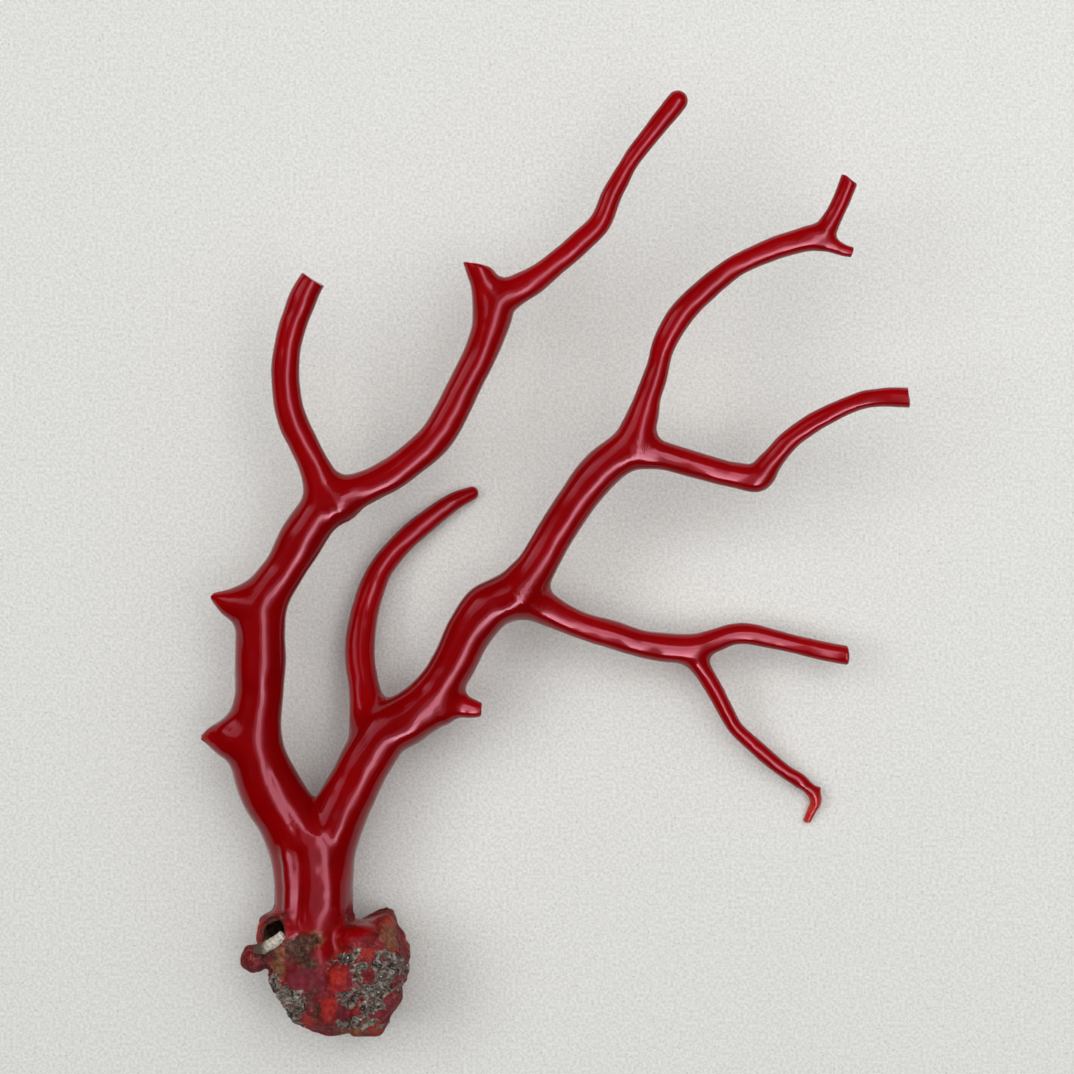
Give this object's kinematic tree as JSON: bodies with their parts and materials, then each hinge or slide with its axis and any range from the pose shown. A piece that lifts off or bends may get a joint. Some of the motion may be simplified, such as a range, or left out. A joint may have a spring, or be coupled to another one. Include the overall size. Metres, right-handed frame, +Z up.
{
  "type": "red coral branch",
  "caption": "Branching piece of precious red coral with a crusted holdfast, polished limbs, thorn-like stubs and thin twigs, lying on its side.",
  "frame": {"origin": "on the flat face under the holdfast, at the level of the surface that the branch lies on", "axes": "+Y from the holdfast's cut end towards the twig tips, +X towards the side limb with the hooked twig, +Z up from the surface"},
  "size_m": [0.113, 0.1506, 0.0232],
  "materials": {
    "polished_coral": "polished, deep red",
    "twig_coral": "polished, brighter red",
    "holdfast_crust": "rough red and orange with grey porous crust",
    "worm_chalk": "matt, chalky"
  },
  "bodies": {
    "root": {"trunk_and_holdfast": "holdfast_crust", "left_limb": "polished_coral", "left_outer_branch": "polished_coral", "left_inner_branch": "polished_coral", "right_lower_limb": "polished_coral", "middle_branch": "polished_coral", "right_middle_limb": "polished_coral", "right_upper_limb": "polished_coral", "upper_branch": "twig_coral", "elbow_branch": "twig_coral", "right_side_limb": "polished_coral", "straight_twig": "twig_coral", "hooked_twig": "twig_coral", "worm_tube": "worm_chalk"}
  },
  "joints": []
}
